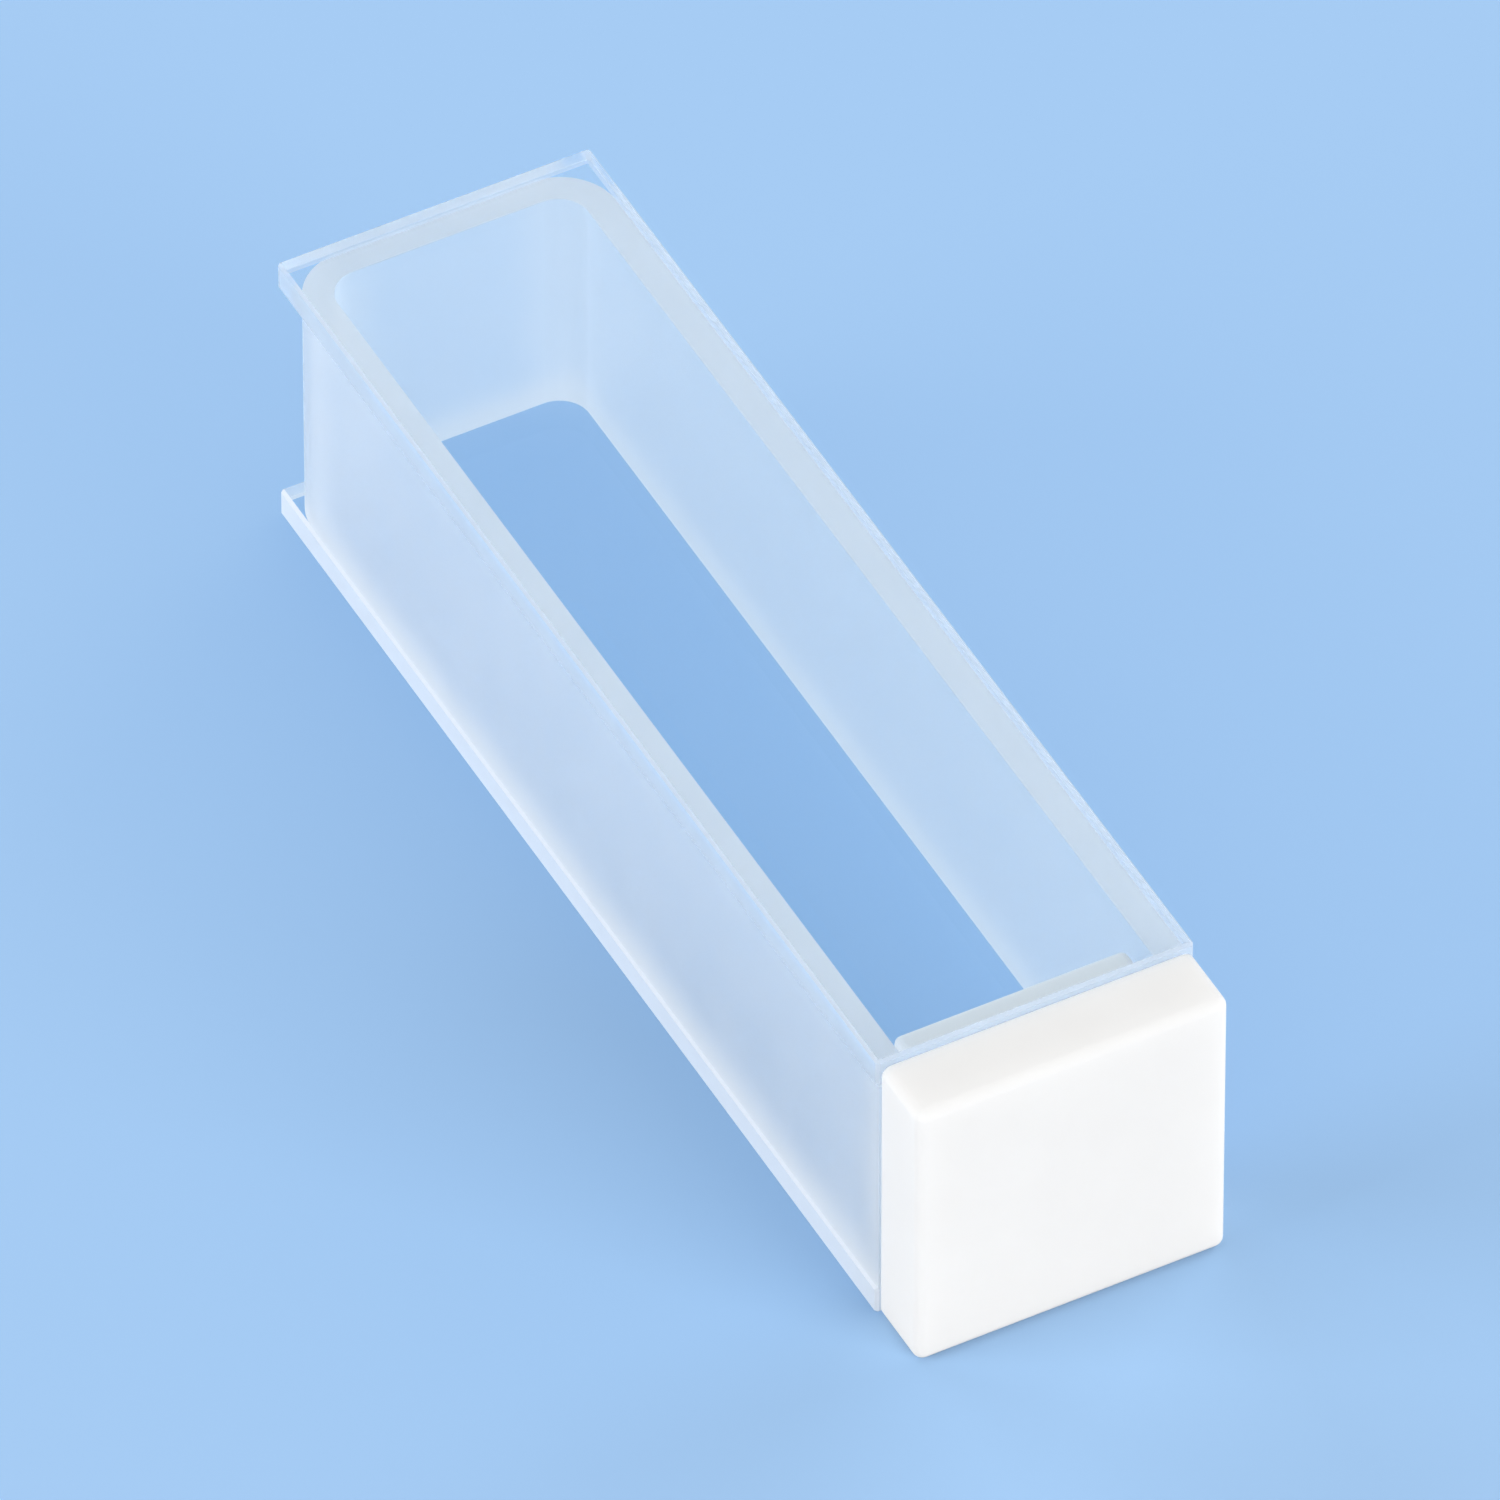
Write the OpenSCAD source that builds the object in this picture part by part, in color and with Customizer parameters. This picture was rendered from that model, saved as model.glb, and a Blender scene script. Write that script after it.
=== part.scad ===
// Spectrophotometer cuvette with its cap on, lying on one of its polished windows.
// X runs across the cell, Y from the capped mouth (-Y) to the closed end (+Y), and Z through the windows.
// The origin is on the surface that the cell lies on, under the middle of its outer box. Millimetres.

/* [Cell] */
// Width of the cell, which is the width of its windows
cell_width = 12.5; // [11:0.5:26]
// Length of the cell from its mouth to its closed end
cell_length = 45; // [30:1:60]
// Light path: the clear distance between the two windows
light_path = 10; // [5:1:20]

/* [Windows] */
// Thickness of each polished window
window_thick = 1.25; // [0.9:0.05:2]
// Arris ground on every edge of a window
window_arris = 0.12; // [0.05:0.01:0.25]

/* [Frame] */
// Thickness of each side wall of the frame
side_wall = 1.15; // [0.9:0.05:1.5]
// Thickness of the frame's closed end
end_wall = 1.1; // [0.8:0.05:2]
// How far the windows' long edges stand out past the frame's side walls
window_lip = 0.1; // [0.05:0.01:0.3]
// Radius of the frame's two outer corners at the closed end
outer_corner = 2.3; // [1:0.1:3]
// Radius of the frame's two inner corners at the closed end
inner_corner = 1.2; // [0.5:0.1:2]
// Thickness of the bond between the frame and each window
bond = 0.02; // [0.01:0.01:0.05]

/* [Cap] */
// How far the cap's head is set in from the cell's outside on each side
head_inset = 0.125; // [0.05:0.025:0.5]
// Thickness of the cap's head along the cell
head_thick = 2.8; // [2:0.1:5]
// Radius that softens the head's long edges and the edges of its outer face
head_edge = 0.4; // [0.2:0.05:0.6]
// Radius of the head's edges next to the mouth of the cell
seat_edge = 0.15; // [0.1:0.05:0.3]
// Clearance between the cap's plug and each wall of the mouth, with the cap in the middle
plug_clearance = 0.4; // [0.25:0.05:0.6]
// Length of the cap's plug inside the mouth
plug_length = 2; // [1.5:0.1:6]
// Radius that softens the plug's edges
plug_edge = 0.3; // [0.2:0.05:0.5]
// Gap between the cap's head and the mouth of the cell
seat_gap = 0.03; // [0.01:0.01:0.1]

/* [Hidden] */
$fn = 64;

cell_height = light_path + 2 * window_thick;
total_length = cell_length + seat_gap + head_thick;
end_y = total_length / 2;
mouth_y = end_y - cell_length;

frame_width = cell_width - 2 * window_lip;
frame_height = light_path - 2 * bond;
bore_width = frame_width - 2 * side_wall;

head_width = cell_width - 2 * head_inset;
head_height = cell_height - 2 * head_inset;
plug_width = bore_width - 2 * plug_clearance;
plug_height = light_path - 2 * plug_clearance;
// The loose cap drops until its head meets the surface or its plug meets the lower window.
cap_drop = min(head_inset, plug_clearance);
cap_z = cell_height / 2 - cap_drop;

// Rectangle about the origin with all four corners cut at 45 degrees.
module chamfered_rect(w, l, cut) {
    x = w / 2;
    y = l / 2;
    polygon([
        [x - cut, -y], [x, cut - y], [x, y - cut], [x - cut, y],
        [cut - x, y], [-x, y - cut], [-x, cut - y], [cut - x, -y]
    ]);
}

// Rectangle about the origin with its corners rounded: one radius towards -Y, another towards +Y.
module rounded_rect(w, l, near_r, far_r) {
    translate([-w / 2, near_r - l / 2]) square([w, l - near_r - far_r]);
    translate([near_r - w / 2, -l / 2]) square([w - 2 * near_r, l / 2]);
    translate([far_r - w / 2, 0]) square([w - 2 * far_r, l / 2]);
    for (side = [-1, 1]) {
        translate([side * (w / 2 - near_r), near_r - l / 2]) circle(near_r);
        translate([side * (w / 2 - far_r), l / 2 - far_r]) circle(far_r);
    }
}

// Block about the origin with every edge chamfered: its three outlines run through each other.
module arrised_block(w, l, h, cut) {
    intersection() {
        linear_extrude(h, center = true) chamfered_rect(w, l, cut);
        rotate([90, 0, 0]) linear_extrude(l, center = true) chamfered_rect(w, h, cut);
        rotate([90, 0, 90]) linear_extrude(w, center = true) chamfered_rect(l, h, cut);
    }
}

// Block about the origin with every edge rounded, made the same way.
// The edges of its +Y face have their own radius.
module softened_block(w, l, h, r, far_r) {
    intersection() {
        linear_extrude(h, center = true) rounded_rect(w, l, r, far_r);
        rotate([90, 0, 0]) linear_extrude(l, center = true) rounded_rect(w, h, r, r);
        rotate([90, 0, 90]) linear_extrude(w, center = true)
            rotate(-90) rounded_rect(h, l, r, far_r);
    }
}

// Outline from the mouth to y1, square at the mouth and with two round corners at the far end.
module end_rounded_outline(w, y0, y1, r) {
    translate([-w / 2, y0]) square([w, y1 - r - y0]);
    translate([r - w / 2, y0]) square([w - 2 * r, y1 - y0]);
    for (side = [-1, 1])
        translate([side * (w / 2 - r), y1 - r]) circle(r);
}

// One window plate, with its middle at height z.
module window(z) {
    translate([0, end_y - cell_length / 2, z])
        arrised_block(cell_width, cell_length, window_thick, window_arris);
}

// U-shaped frame: both side walls and the closed end are one piece, open at the mouth.
module u_frame() {
    past_mouth = 1;
    color([0.88, 0.92, 0.95, 0.7])
        translate([0, 0, window_thick + bond])
            linear_extrude(frame_height) difference() {
                end_rounded_outline(frame_width, mouth_y, end_y, outer_corner);
                end_rounded_outline(bore_width, mouth_y - past_mouth, end_y - end_wall, inner_corner);
            }
}

// Clear plate that the cell lies on.
module lower_window() {
    color([0.8, 0.9, 1, 0.35]) window(window_thick / 2);
}

// Clear plate on top of the frame.
module upper_window() {
    color([0.8, 0.9, 1, 0.35]) window(cell_height - window_thick / 2);
}

// One-piece cap: a square head against the mouth, and a narrower plug that goes into it.
module cap() {
    head_back = mouth_y - seat_gap;
    head_middle = head_back - head_thick / 2;
    plug_reach = mouth_y + plug_length - head_middle;
    color([0.97, 0.97, 0.96]) translate([0, 0, cap_z]) {
        translate([0, head_middle, 0])
            softened_block(head_width, head_thick, head_height, head_edge, seat_edge);
        translate([0, head_middle + plug_reach / 2, 0])
            softened_block(plug_width, plug_reach, plug_height, plug_edge, plug_edge);
    }
}

u_frame();
lower_window();
upper_window();
cap();
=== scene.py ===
"""A 10 mm absorption cuvette, lying on its lower window with its cap in.

A matt U-shaped frame of quartz glass is fused between two clear windows, and a white PTFE cap closes
its mouth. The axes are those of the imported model: X across, Y from the cap to the closed end, Z up.
Each piece is shaped in millimetres, and make_piece brings it to metres.
"""

import math

import bmesh
import bpy
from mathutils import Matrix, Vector


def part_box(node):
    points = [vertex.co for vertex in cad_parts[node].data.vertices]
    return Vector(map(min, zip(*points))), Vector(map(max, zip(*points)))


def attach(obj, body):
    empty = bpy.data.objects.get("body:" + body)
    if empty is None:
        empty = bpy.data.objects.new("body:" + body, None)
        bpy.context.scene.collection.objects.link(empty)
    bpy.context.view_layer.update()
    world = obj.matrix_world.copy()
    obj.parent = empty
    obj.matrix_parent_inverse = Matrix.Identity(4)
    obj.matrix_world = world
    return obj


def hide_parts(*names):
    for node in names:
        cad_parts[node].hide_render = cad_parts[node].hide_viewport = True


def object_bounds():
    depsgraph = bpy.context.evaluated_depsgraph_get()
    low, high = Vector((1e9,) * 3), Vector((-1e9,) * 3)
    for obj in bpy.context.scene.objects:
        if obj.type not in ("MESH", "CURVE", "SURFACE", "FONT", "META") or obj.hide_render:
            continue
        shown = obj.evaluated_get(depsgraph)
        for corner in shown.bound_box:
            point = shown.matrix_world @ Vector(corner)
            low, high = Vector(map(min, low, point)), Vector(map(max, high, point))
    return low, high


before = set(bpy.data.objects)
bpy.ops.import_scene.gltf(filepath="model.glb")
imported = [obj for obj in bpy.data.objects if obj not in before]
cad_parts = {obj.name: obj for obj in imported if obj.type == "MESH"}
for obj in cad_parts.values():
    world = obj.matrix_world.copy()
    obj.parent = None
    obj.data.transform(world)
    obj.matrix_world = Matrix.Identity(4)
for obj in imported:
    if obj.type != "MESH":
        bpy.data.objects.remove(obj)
cad_low, cad_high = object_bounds()


# ---- Frosted U-shaped frame -------------------------------------------------------------------
# The two walls and the closed end are one piece of quartz glass, formed as a U and ground matt on
# every face, so they are milky and dim what is behind them. Their foot and inner corners have a glow
# painted in, whiter where scattered light gathers, and the fused seams are whiter too.

MM = 0.001
SIDE_WALL = 1.15
END_WALL = 1.1
OUTER_CORNER = 2.3
INNER_CORNER = 1.2
ARC_STEPS = 16
SEAM_DEPTH = 0.03  # fills the gap of the bond and goes a hundredth into each window
NEAR = 1e-3  # points closer than this are at one place
SQUARE_ON = 0.99  # the least share of a normal along the axis that its face looks along
SHARP_ANGLE = 50  # degrees, past which an edge stays crisp
OUTSIDE, INSIDE, SEAM = 0, 1, 2

QUARTZ_IOR = 1.458
FROST_TONE = (0.97, 0.985, 1.0, 1)
FROST_TINT = (0.87, 0.905, 0.945, 1)  # what each matt face leaves of a lamp's light
FROST_ROUGHNESS = (0.42, 0.52)
FROST_BUMP = 0.25
BUMP_DEPTH = 0.01
GRIT_SCALE = 30.0
CLOUD_SCALE = 0.45
CLOUD_SHARE = 0.03
NOISE_SPAN = (0.3, 0.7)  # where nearly all the values of a noise lie
WALL_CLEAR = 0.79
WALL_GLOW = 0.13
# Painted glow: the glass of the walls is made whiter towards their foot, where scattered light
# gathers.
FOOT_PAINTED_GLOW = 0.45
FOOT_GLOW_BAND = 1.5  # how far up the wall its foot is whiter
# Painted glow: the glass is made whiter towards the two inner corners, where scattered light gathers.
CORNER_PAINTED_GLOW = 0.3
CORNER_GLOW_BAND = (0.5, 2.8)  # how far from the corner the white begins to fade and ends
SEAM_CLEAR = 0.55
SEAM_TONE = (0.93, 0.97, 1.0, 1)


def corners(name):
    """The lowest and highest corner of a CAD node, in millimetres."""
    low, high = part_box(name)
    return low / MM, high / MM


def upright_edges(bm, x, y):
    """The edges along Z at this Y and this far to either side of the middle."""
    def at(vert, side):
        return abs(vert.co.x - side * x) < NEAR and abs(vert.co.y - y) < NEAR

    return [e for e in bm.edges if any(all(at(v, side) for v in e.verts) for side in (-1, 1))]


def faces_along(face, axis):
    """True if the face looks straight along this axis."""
    return abs(getattr(face.normal, axis)) > SQUARE_ON


def round_edges(bm, edges, radius, steps):
    """Rounds these edges with arcs of this radius, or cuts them flat with a single step."""
    bmesh.ops.bevel(
        bm, geom=edges, offset=radius, offset_type="OFFSET", segments=steps,
        profile=0.5, affect="EDGES", material=-1, clamp_overlap=True,
    )


def make_piece(name, bm, materials, smooth=True):
    """Turns the bmesh into an object that stands for the CAD node of the same name."""
    bmesh.ops.scale(bm, verts=bm.verts[:], vec=(MM, MM, MM))
    bmesh.ops.recalc_face_normals(bm, faces=bm.faces[:])
    for face in bm.faces:
        face.smooth = smooth
    for edge in bm.edges:
        edge.smooth = edge.calc_face_angle(0) < math.radians(SHARP_ANGLE)
    mesh = bpy.data.meshes.new(name)
    bm.to_mesh(mesh)
    bm.free()
    piece = bpy.data.objects.new(name + "_piece", mesh)
    bpy.context.scene.collection.objects.link(piece)
    for material in materials:
        mesh.materials.append(material)
    if smooth:
        # The flat faces keep their own normal, and only the arcs blend into them.
        weighted = piece.modifiers.new("Even faces", "WEIGHTED_NORMAL")
        weighted.weight = 100
        weighted.keep_sharp = True
    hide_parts(name)
    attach(piece, "root")
    return piece


def node_adder(tree):
    """Empties the tree and gives a function that adds a node, with its settings and inputs by name."""
    tree.nodes.clear()

    def add(kind, inputs=(), **settings):
        node = tree.nodes.new(kind)
        for key, value in settings.items():
            setattr(node, key, value)
        for key, value in dict(inputs).items():
            if isinstance(value, bpy.types.NodeSocket):
                tree.links.new(value, node.inputs[key])
            else:
                node.inputs[key].default_value = value
        return node

    return add


def new_material(name):
    """An empty material and the function that adds its nodes."""
    material = bpy.data.materials.new(name)
    material.use_nodes = True
    return material, node_adder(material.node_tree)


def millimetres(add):
    """Object coordinates, in millimetres."""
    place = add("ShaderNodeTexCoord").outputs["Object"]
    return add("ShaderNodeMapping", {"Vector": place, "Scale": (1 / MM,) * 3}).outputs["Vector"]


def noise(add, place, scale, detail):
    """Even noise, with about this many grains to a millimetre."""
    return add(
        "ShaderNodeTexNoise", {"Vector": place, "Scale": scale, "Detail": detail}
    ).outputs["Fac"]


def spread(add, value, span, result, **settings):
    """The value, stretched from one span to another."""
    return add(
        "ShaderNodeMapRange",
        {
            "Value": value, "From Min": span[0], "From Max": span[1],
            "To Min": result[0], "To Max": result[1],
        },
        **settings,
    ).outputs["Result"]


def less(add, value, share):
    """The value with this share taken off it."""
    return add("ShaderNodeMath", {0: value, 1: share}, operation="SUBTRACT").outputs[0]


def fine_bump(add, height, strength):
    """The normal of a face roughened a hundredth of a millimetre deep."""
    return add(
        "ShaderNodeBump", {"Height": height, "Strength": strength, "Distance": BUMP_DEPTH * MM}
    ).outputs["Normal"]


def painted_foot_glow(add, place, white):
    """A painted glow: how much whiter the glass is made towards the foot of the walls, and all over
    below it.
    """
    height = add("ShaderNodeSeparateXYZ", {"Vector": place}).outputs["Z"]
    foot = corners("u_frame")[0].z
    return spread(
        add, height, (foot, foot + FOOT_GLOW_BAND), (white, 0.0), interpolation_type="SMOOTHSTEP"
    )


def painted_corner_glow(add, place, white):
    """A painted glow: how much whiter the glass is made towards the two inner corners at the closed
    end.
    """
    split = add("ShaderNodeSeparateXYZ", {"Vector": place}).outputs
    across = add("ShaderNodeMath", {0: split["X"]}, operation="ABSOLUTE").outputs[0]
    plan = add("ShaderNodeCombineXYZ", {"X": across, "Y": split["Y"]}).outputs[0]
    high = corners("u_frame")[1]
    corner = (high.x - SIDE_WALL, high.y - END_WALL, 0)
    away = add("ShaderNodeVectorMath", {0: plan, 1: corner}, operation="DISTANCE").outputs["Value"]
    return spread(add, away, CORNER_GLOW_BAND, (white, 0.0), interpolation_type="SMOOTHSTEP")


def lets_lamps_through(add, glass, tint):
    """The glass, with lamps and soft light passing straight through each face to what it covers."""
    rays = add("ShaderNodeLightPath").outputs
    straight = add("ShaderNodeBsdfTransparent", {"Color": tint}).outputs[0]
    soft = add("ShaderNodeMixShader", {0: rays["Is Diffuse Ray"], 1: glass, 2: straight}).outputs[0]
    return add("ShaderNodeMixShader", {0: rays["Is Shadow Ray"], 1: soft, 2: straight}).outputs[0]


def frosted_quartz(
    name, clear_share, tone=FROST_TONE, glow=0.0, painted_glow_at_foot=0.0, painted_glow_at_corners=0.0, coarse=1.0
):
    """Quartz ground matt: a soft white veil over what shows through it.

    clear_share is how much of it is glass rather than veil, less where a whiter glow is painted at the
    foot and in the corners.
    glow is how much light from behind lights it up, and a coarse below 1 is a finer grind.
    """
    material, add = new_material(name)
    place = millimetres(add)
    grit = noise(add, place, scale=GRIT_SCALE, detail=2.0)
    cloud = noise(add, place, scale=CLOUD_SCALE, detail=4.0)
    clear = spread(add, cloud, NOISE_SPAN, (clear_share - CLOUD_SHARE, clear_share + CLOUD_SHARE))
    # Painted glow: less glass and more white veil at the foot of the walls and in the inner corners.
    if painted_glow_at_foot:
        clear = less(add, clear, painted_foot_glow(add, place, painted_glow_at_foot))
    if painted_glow_at_corners:
        clear = less(add, clear, painted_corner_glow(add, place, painted_glow_at_corners))
    roughness = [rough * coarse for rough in FROST_ROUGHNESS]
    glass = add(
        "ShaderNodeBsdfPrincipled",
        {
            "Base Color": tone,
            "Roughness": spread(add, grit, NOISE_SPAN, roughness),
            "IOR": QUARTZ_IOR,
            "Transmission Weight": clear,
            "Normal": fine_bump(add, grit, FROST_BUMP * coarse),
        },
    ).outputs["BSDF"]
    lit_up = add("ShaderNodeBsdfTranslucent", {"Color": tone}).outputs["BSDF"]
    veiled = add("ShaderNodeMixShader", {0: glow, 1: glass, 2: lit_up}).outputs[0]
    through = lets_lamps_through(add, veiled, FROST_TINT)
    add("ShaderNodeOutputMaterial", {"Surface": through})
    return material


def make_frame():
    """The U's outline, drawn up to its full height and rounded at its four corners."""
    low, high = corners("u_frame")
    low.z -= SEAM_DEPTH
    high.z += SEAM_DEPTH
    inner_x, inner_y = high.x - SIDE_WALL, high.y - END_WALL
    outline = (
        (low.x, low.y), (-inner_x, low.y), (-inner_x, inner_y), (inner_x, inner_y),
        (inner_x, low.y), (high.x, low.y), (high.x, high.y), (low.x, high.y),
    )
    bm = bmesh.new()
    bm.faces.new([bm.verts.new((x, y, low.z)) for x, y in outline])
    raised = bmesh.ops.extrude_face_region(bm, geom=bm.faces[:])["geom"]
    top = [v for v in raised if isinstance(v, bmesh.types.BMVert)]
    bmesh.ops.translate(bm, verts=top, vec=(0, 0, high.z - low.z))
    round_edges(bm, upright_edges(bm, high.x, high.y), OUTER_CORNER, ARC_STEPS)
    round_edges(bm, upright_edges(bm, inner_x, inner_y), INNER_CORNER, ARC_STEPS)
    bm.normal_update()
    for face in bm.faces:
        middle = face.calc_center_median()
        if faces_along(face, "z"):
            face.material_index = SEAM
        elif abs(middle.x) < inner_x + NEAR and middle.y < inner_y + NEAR:
            face.material_index = INSIDE
        else:
            face.material_index = OUTSIDE
    finishes = [
        frosted_quartz("frosted_outside_painted_glow", WALL_CLEAR, glow=WALL_GLOW, painted_glow_at_foot=FOOT_PAINTED_GLOW),
        frosted_quartz(
            "frosted_inside_painted_glow", WALL_CLEAR,
            glow=WALL_GLOW, painted_glow_at_foot=FOOT_PAINTED_GLOW, painted_glow_at_corners=CORNER_PAINTED_GLOW,
        ),
        frosted_quartz("fused_seam", SEAM_CLEAR, tone=SEAM_TONE),
    ]
    return make_piece("u_frame", bm, finishes)


make_frame()


# ---- Clear windows ----------------------------------------------------------------------------
# Two flat plates of quartz, polished on both broad faces, carry the light beam through the cell.
# Their narrow faces, and the small flat arris along each edge, are finely ground and look pale, with a
# glow painted whiter onto those of the lower plate.
# They are fused to the frame and stand a hair proud of its walls.

WINDOW_ARRIS = 0.12
POLISHED, GROUND, ARRIS = 0, 1, 2

POLISH_TONE = (0.985, 0.992, 0.996, 1)
POLISH_TINT = (0.90, 0.95, 0.985, 1)  # what each polished face leaves of a lamp's light
POLISH_ROUGHNESS = (0.0, 0.03)
WIPE_SCALE = 0.6
WIPE_SPAN = (0.45, 0.75)
EDGE_CLEAR = 0.85
ARRIS_CLEAR = 0.65
# Painted glow: on the lower plate, below the frame's foot, the narrow faces and arrises are made much
# whiter, as if light led along the plate lit its rim.
EDGE_GRIND_AND_PAINTED_GLOW = {"tone": (0.93, 0.96, 1.0, 1), "glow": 0.2, "painted_glow_at_foot": 0.65, "coarse": 0.4}


def polished_quartz(name):
    """Clear polished quartz, with a trace of wiping marks in its gloss."""
    material, add = new_material(name)
    wiped = noise(add, millimetres(add), scale=WIPE_SCALE, detail=5.0)
    glass = add(
        "ShaderNodeBsdfPrincipled",
        {
            "Base Color": POLISH_TONE,
            "Roughness": spread(add, wiped, WIPE_SPAN, POLISH_ROUGHNESS),
            "IOR": QUARTZ_IOR,
            "Transmission Weight": 1.0,
        },
    ).outputs["BSDF"]
    through = lets_lamps_through(add, glass, POLISH_TINT)
    add("ShaderNodeOutputMaterial", {"Surface": through})
    return material


def add_block(bm, low, high):
    """Adds a box between two corners, and gives its corner points."""
    points = bmesh.ops.create_cube(bm, size=1)["verts"]
    bmesh.ops.scale(bm, verts=points, vec=high - low)
    bmesh.ops.translate(bm, verts=points, vec=(low + high) / 2)
    return points


def make_window(name, materials):
    """A plate with an arris cut along each of its twelve edges."""
    bm = bmesh.new()
    add_block(bm, *corners(name))
    round_edges(bm, bm.edges[:], WINDOW_ARRIS, steps=1)
    bm.normal_update()
    for face in bm.faces:
        if faces_along(face, "z"):
            face.material_index = POLISHED
        elif faces_along(face, "x") or faces_along(face, "y"):
            face.material_index = GROUND
        else:
            face.material_index = ARRIS
    return make_piece(name, bm, materials, smooth=False)


window_glass = [
    polished_quartz("polished_quartz"),
    frosted_quartz("ground_edge_painted_glow", EDGE_CLEAR, **EDGE_GRIND_AND_PAINTED_GLOW),
    frosted_quartz("ground_arris_painted_glow", ARRIS_CLEAR, **EDGE_GRIND_AND_PAINTED_GLOW),
]
for window in ("lower_window", "upper_window"):
    make_window(window, window_glass)


# ---- Cap --------------------------------------------------------------------------------------
# The cap is cut from one block of white PTFE: a square head nearly as wide as the cell, and a
# narrower square plug that sits loosely in the mouth. PTFE is waxy and satin, and light sinks a
# little way into it, so its rounded edges look soft.

HEAD_THICK = 2.8
PLUG_SIDE = 9.2
HEAD_EDGE = 0.4
SEAT_EDGE = 0.15
PLUG_EDGE = 0.3
EDGE_STEPS = 6

PTFE_IOR = 1.38
PTFE_DULL = (0.885, 0.872, 0.855, 1)
PTFE_BRIGHT = (0.92, 0.907, 0.89, 1)
PTFE_ROUGHNESS = (0.42, 0.55)
PTFE_BUMP = 0.15
PTFE_CLOUD_SCALE = 0.35
PTFE_GRAIN_SCALE = 8.0
LIGHT_SUNK = 0.8  # the share of the light that sinks in
LIGHT_DEPTH = 0.8


def white_ptfe():
    """Satin white PTFE with faint clouding and the fine grain of its cut faces."""
    material, add = new_material("white_ptfe")
    place = millimetres(add)
    cloud = noise(add, place, scale=PTFE_CLOUD_SCALE, detail=3.0)
    grain = noise(add, place, scale=PTFE_GRAIN_SCALE, detail=4.0)
    tone = add(
        "ShaderNodeMix", {"Factor": cloud, "A": PTFE_DULL, "B": PTFE_BRIGHT}, data_type="RGBA"
    ).outputs["Result"]
    ptfe = add(
        "ShaderNodeBsdfPrincipled",
        {
            "Base Color": tone,
            "Roughness": spread(add, grain, NOISE_SPAN, PTFE_ROUGHNESS),
            "IOR": PTFE_IOR,
            "Subsurface Weight": LIGHT_SUNK,
            "Subsurface Radius": (1.0, 1.0, 1.0),
            "Subsurface Scale": LIGHT_DEPTH * MM,
            "Normal": fine_bump(add, grain, PTFE_BUMP),
        },
    ).outputs["BSDF"]
    add("ShaderNodeOutputMaterial", {"Surface": ptfe})
    return material


def make_cap():
    """The head and the plug as rounded blocks, joined at the seat."""
    low, high = corners("cap")
    head_back = low.y + HEAD_THICK
    root_y = (head_back + high.y) / 2
    middle_z = (low.z + high.z) / 2
    half = PLUG_SIDE / 2

    def all_at(face_or_edge, y):
        return all(abs(v.co.y - y) < NEAR for v in face_or_edge.verts)

    bm = bmesh.new()
    add_block(bm, low, Vector((high.x, head_back, high.z)))
    round_edges(bm, [e for e in bm.edges if not all_at(e, head_back)], HEAD_EDGE, EDGE_STEPS)
    round_edges(bm, [e for e in bm.edges if all_at(e, head_back)], SEAT_EDGE, EDGE_STEPS)
    plug = add_block(
        bm, Vector((-half, root_y, middle_z - half)), Vector((half, high.y, middle_z + half))
    )
    plug_edges = [e for e in bm.edges if e.verts[0] in plug and not all_at(e, root_y)]
    round_edges(bm, plug_edges, PLUG_EDGE, EDGE_STEPS)
    # The plug is made half as long, so that its open root stands clear of the head's open back and
    # can be bridged to it. Pushing the root back to the seat then flattens the bridge.
    open_ends = [f for f in bm.faces if all_at(f, head_back) or all_at(f, root_y)]
    bmesh.ops.delete(bm, geom=open_ends, context="FACES_ONLY")
    bmesh.ops.bridge_loops(bm, edges=[e for e in bm.edges if e.is_boundary])
    root = [v for v in bm.verts if abs(v.co.y - root_y) < NEAR]
    bmesh.ops.translate(bm, verts=root, vec=(0, head_back - root_y, 0))
    return make_piece("cap", bm, [white_ptfe()])


make_cap()


# ---- Table, light and camera ------------------------------------------------------------------
# The cell lies on a plain pale table under soft studio light, seen from above its cap. Its glass
# shows and mirrors the plain table and backdrop, and never the lamps. Sizes here are in metres.

TABLE_COLOUR = (0.39, 0.62, 0.93, 1)
TABLE_BOUNCE = (0.60, 0.62, 0.65, 1)
TABLE_ROUGHNESS = 0.9
TABLE_SIZE = 6.0
TABLE_GAP = 0.02 * MM
SKY_COLOUR = (1.0, 1.0, 1.0, 1)
SKY_STRENGTH = 0.50
BACKDROP_COLOUR = (0.46, 0.69, 0.96, 1)
SOFTBOX_SIZE = 0.7
SOFTBOX_DISTANCE = 1.2
CAMERA_AZIMUTH = -28.0
CAMERA_ELEVATION = 45.0
CAMERA_DISTANCE = 1.2
CAMERA_LENS = 820.0
BOUNCES = 32


def looked_at(add):
    """1 for a ray that looks, straight or by way of glass or a mirror, and 0 for one that lights."""
    rays = add("ShaderNodeLightPath").outputs
    seen = rays["Is Camera Ray"]
    for kind in ("Is Glossy Ray", "Is Transmission Ray"):
        seen = add("ShaderNodeMath", {0: seen, 1: rays[kind]}, operation="MAXIMUM").outputs[0]
    return seen


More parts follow.
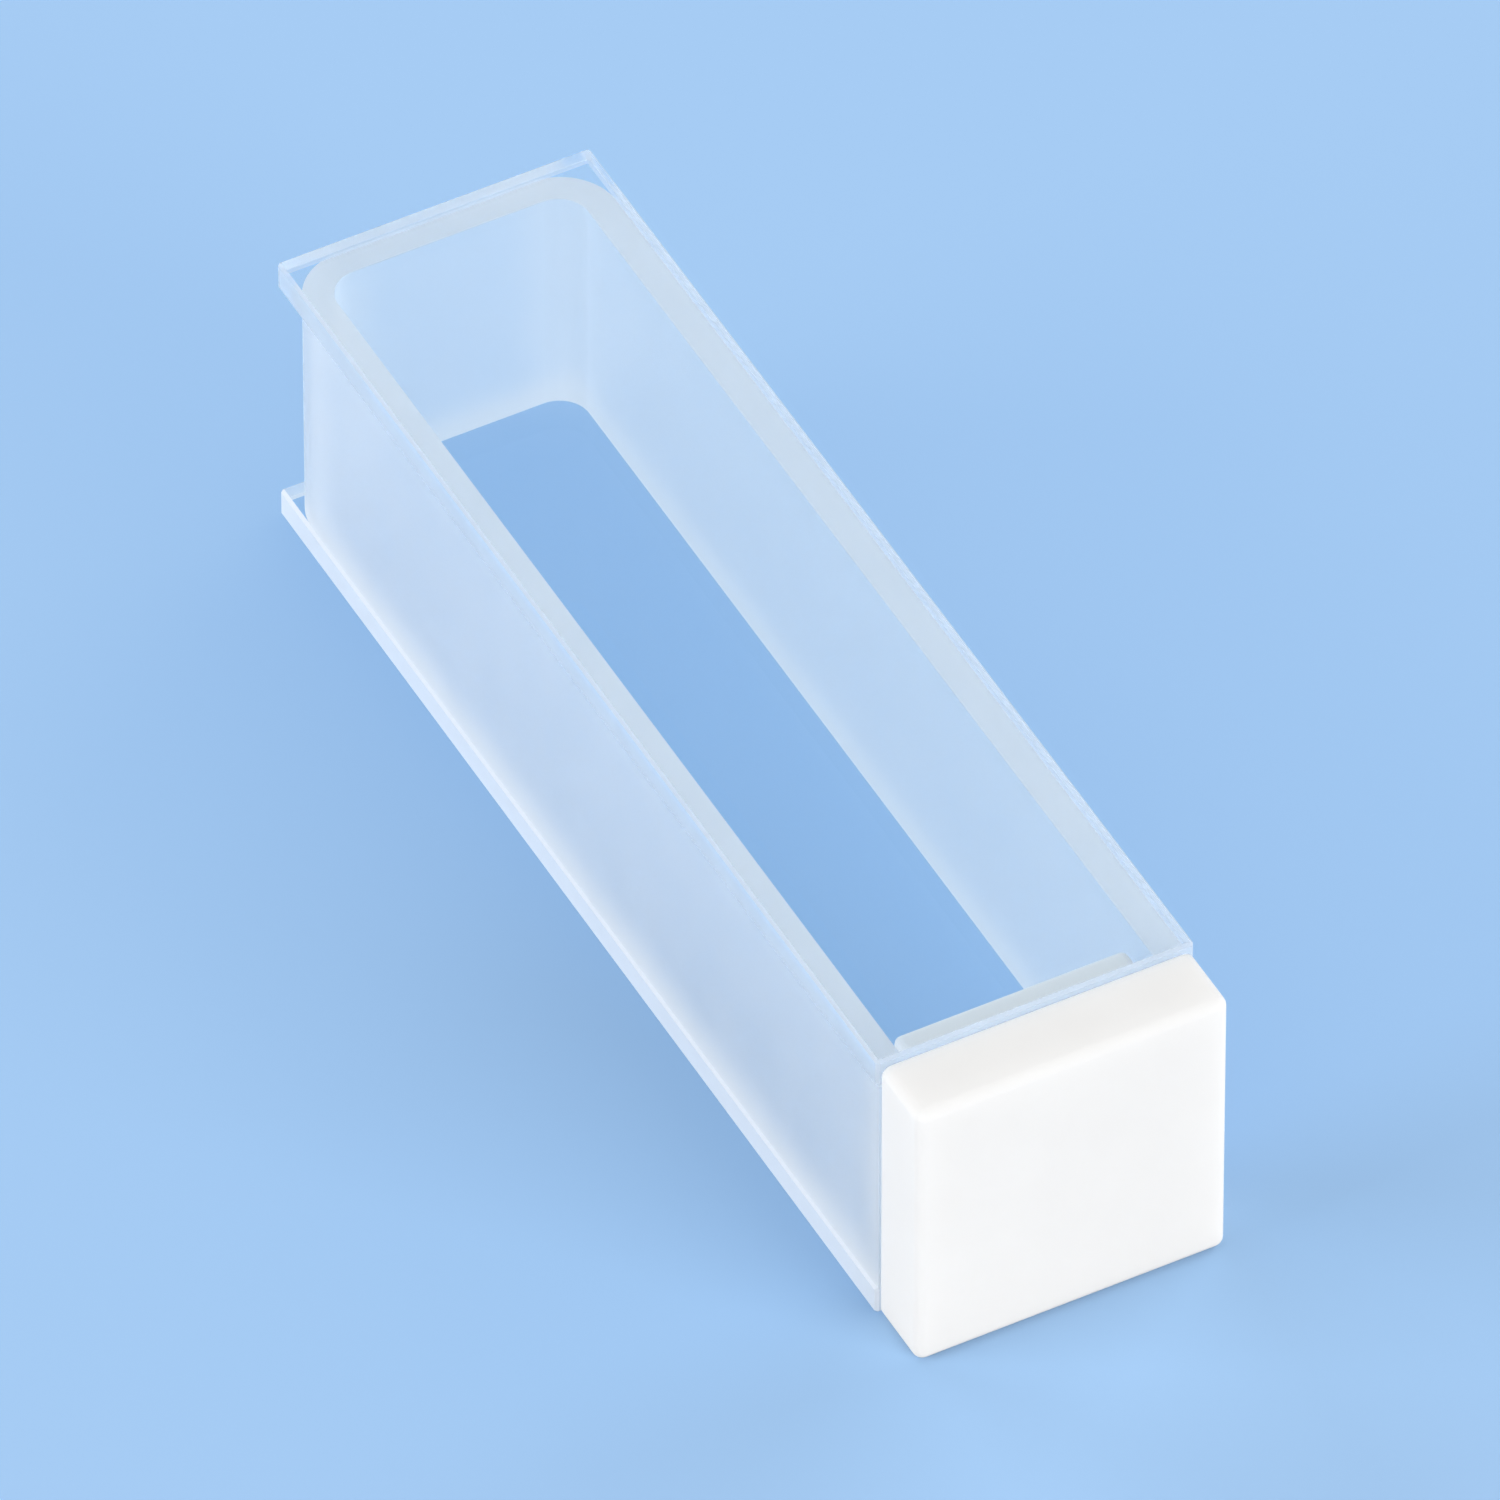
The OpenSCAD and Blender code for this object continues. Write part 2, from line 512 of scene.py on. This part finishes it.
def make_table():
    """A plain sheet a hair below the cell, pale blue to the eye and a quieter grey to the light."""
    material, add = new_material("table")
    colour = add(
        "ShaderNodeMix",
        {"Factor": looked_at(add), "A": TABLE_BOUNCE, "B": TABLE_COLOUR},
        data_type="RGBA",
    ).outputs["Result"]
    paint = add("ShaderNodeBsdfPrincipled", {"Base Color": colour, "Roughness": TABLE_ROUGHNESS})
    add("ShaderNodeOutputMaterial", {"Surface": paint.outputs["BSDF"]})
    bm = bmesh.new()
    bmesh.ops.create_grid(bm, x_segments=1, y_segments=1, size=TABLE_SIZE / 2)
    bmesh.ops.translate(bm, verts=bm.verts[:], vec=(0, 0, -TABLE_GAP))
    mesh = bpy.data.meshes.new("table")
    bm.to_mesh(mesh)
    bm.free()
    mesh.materials.append(material)
    table = bpy.data.objects.new("table", mesh)
    bpy.context.scene.collection.objects.link(table)


def make_room():
    """An even white sky that lights the cell, and a plain blue backdrop that is seen in its place."""
    world = bpy.data.worlds.new("studio")
    world.use_nodes = True
    add = node_adder(world.node_tree)
    sky = add("ShaderNodeBackground", {"Color": SKY_COLOUR, "Strength": SKY_STRENGTH}).outputs[0]
    backdrop = add("ShaderNodeBackground", {"Color": BACKDROP_COLOUR, "Strength": 1.0}).outputs[0]
    both = add("ShaderNodeMixShader", {0: looked_at(add), 1: sky, 2: backdrop}).outputs[0]
    add("ShaderNodeOutputWorld", {"Surface": both})
    bpy.context.scene.world = world


def back_from(azimuth, elevation):
    """The direction from the cell to something at this angle; azimuth 0 is in front of the cap."""
    a, e = math.radians(azimuth), math.radians(elevation)
    return Vector((math.sin(a) * math.cos(e), -math.cos(a) * math.cos(e), math.sin(e)))


def aim(thing, azimuth, elevation, distance, target):
    """Stands a lamp or the camera this far from the target, turned towards it."""
    back = back_from(azimuth, elevation)
    thing.location = target + back * distance
    thing.rotation_mode = "QUATERNION"
    thing.rotation_quaternion = (-back).to_track_quat("-Z", "Y")
    bpy.context.scene.collection.objects.link(thing)


def soft_light(name, power, azimuth, elevation):
    """A square softbox turned towards the cell."""
    lamp = bpy.data.lights.new(name, "AREA")
    lamp.shape = "SQUARE"
    lamp.size = SOFTBOX_SIZE
    lamp.energy = power
    softbox = bpy.data.objects.new(name, lamp)
    # The polished windows don't mirror the lamps, so the cell can be seen into from all round.
    softbox.visible_glossy = False
    softbox.visible_transmission = False
    aim(softbox, azimuth, elevation, SOFTBOX_DISTANCE, Vector((0, 0, 0)))


make_table()
make_room()
soft_light("front_softbox", power=9.2, azimuth=22, elevation=14)
soft_light("left_softbox", power=7.7, azimuth=-102, elevation=18)
soft_light("right_softbox", power=3.5, azimuth=105, elevation=28)
soft_light("back_softbox", power=3.0, azimuth=195, elevation=25)

camera_data = bpy.data.cameras.new("camera")
camera_data.lens = CAMERA_LENS
camera_data.sensor_width = 36.0
camera_data.clip_start = 0.05
camera_data.clip_end = 50.0
camera = bpy.data.objects.new("camera", camera_data)
aim(camera, CAMERA_AZIMUTH, CAMERA_ELEVATION, CAMERA_DISTANCE, (cad_low + cad_high) / 2)

scene = bpy.context.scene
scene.camera = camera
scene.view_settings.view_transform = "Standard"
scene.cycles.max_bounces = BOUNCES
scene.cycles.transmission_bounces = BOUNCES
scene.cycles.glossy_bounces = BOUNCES
scene.cycles.transparent_max_bounces = BOUNCES
